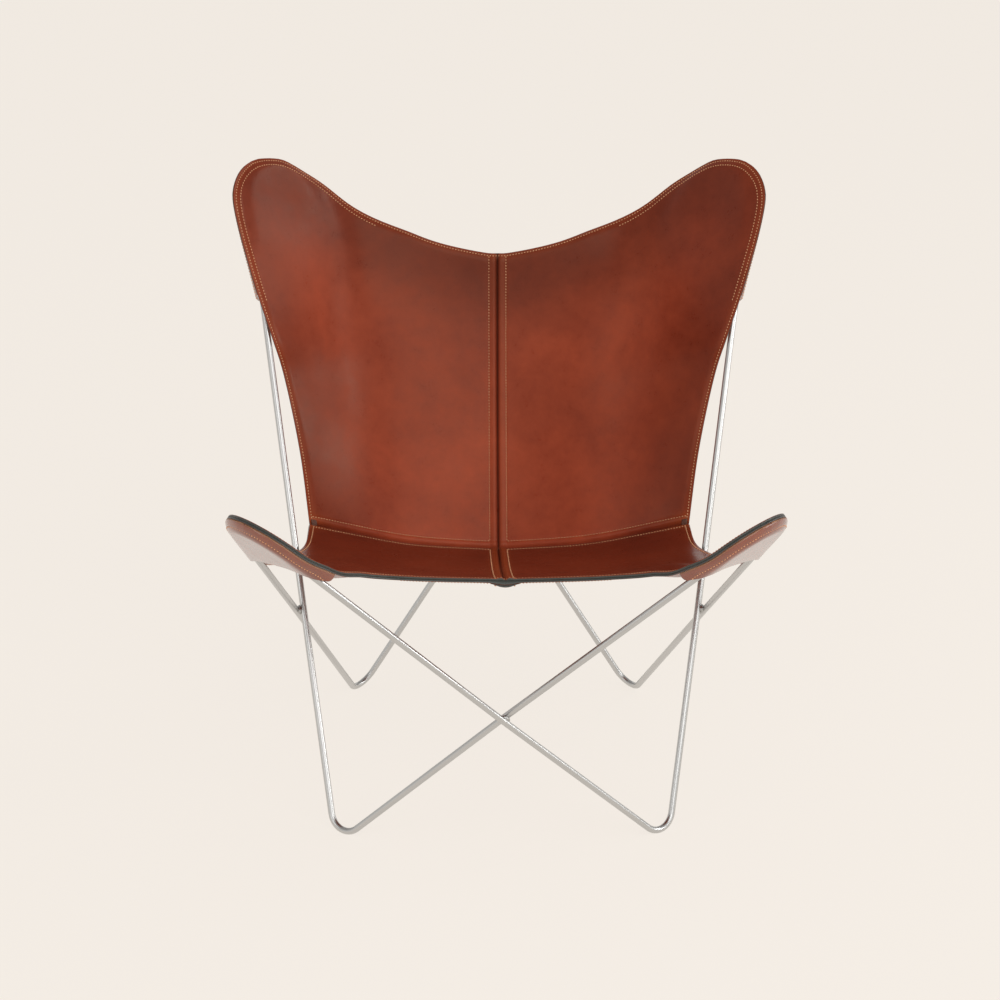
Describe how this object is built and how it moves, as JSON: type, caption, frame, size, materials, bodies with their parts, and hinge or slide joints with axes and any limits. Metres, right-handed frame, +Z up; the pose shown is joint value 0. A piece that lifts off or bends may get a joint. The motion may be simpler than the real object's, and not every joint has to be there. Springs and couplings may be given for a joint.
{
  "type": "butterfly sling chair",
  "caption": "Lounge chair with a stitched brown leather sling hooked by corner pockets over a frame of two welded, bent steel rod loops.",
  "frame": {"origin": "on the floor, under the middle of the chair's bounding box", "axes": "+Z up, -Y toward the front of the chair, +X to the right as seen from the front"},
  "size_m": [0.816, 0.787, 0.9028],
  "materials": {
    "rod": "polished",
    "weld": "satin",
    "face_leather": "smooth, semi-gloss",
    "lining_leather": "smooth, satin",
    "seam_tape": "matt"
  },
  "bodies": {
    "root": {"frame_loop_right_foot": "rod", "frame_loop_left_foot": "rod", "weld_front": "weld", "weld_rear": "weld", "weld_right": "weld", "weld_left": "weld", "back_panel_right": "face_leather", "back_lining_right": "lining_leather", "seat_panel_right": "face_leather", "seat_lining_right": "lining_leather", "wing_pocket_right": "lining_leather", "back_pocket_right": "lining_leather", "back_panel_left": "face_leather", "back_lining_left": "lining_leather", "seat_panel_left": "face_leather", "seat_lining_left": "lining_leather", "wing_pocket_left": "lining_leather", "back_pocket_left": "lining_leather", "seam_strip_back": "seam_tape", "seam_strip_seat": "seam_tape", "seam_strip_cross": "seam_tape"}
  },
  "joints": []
}
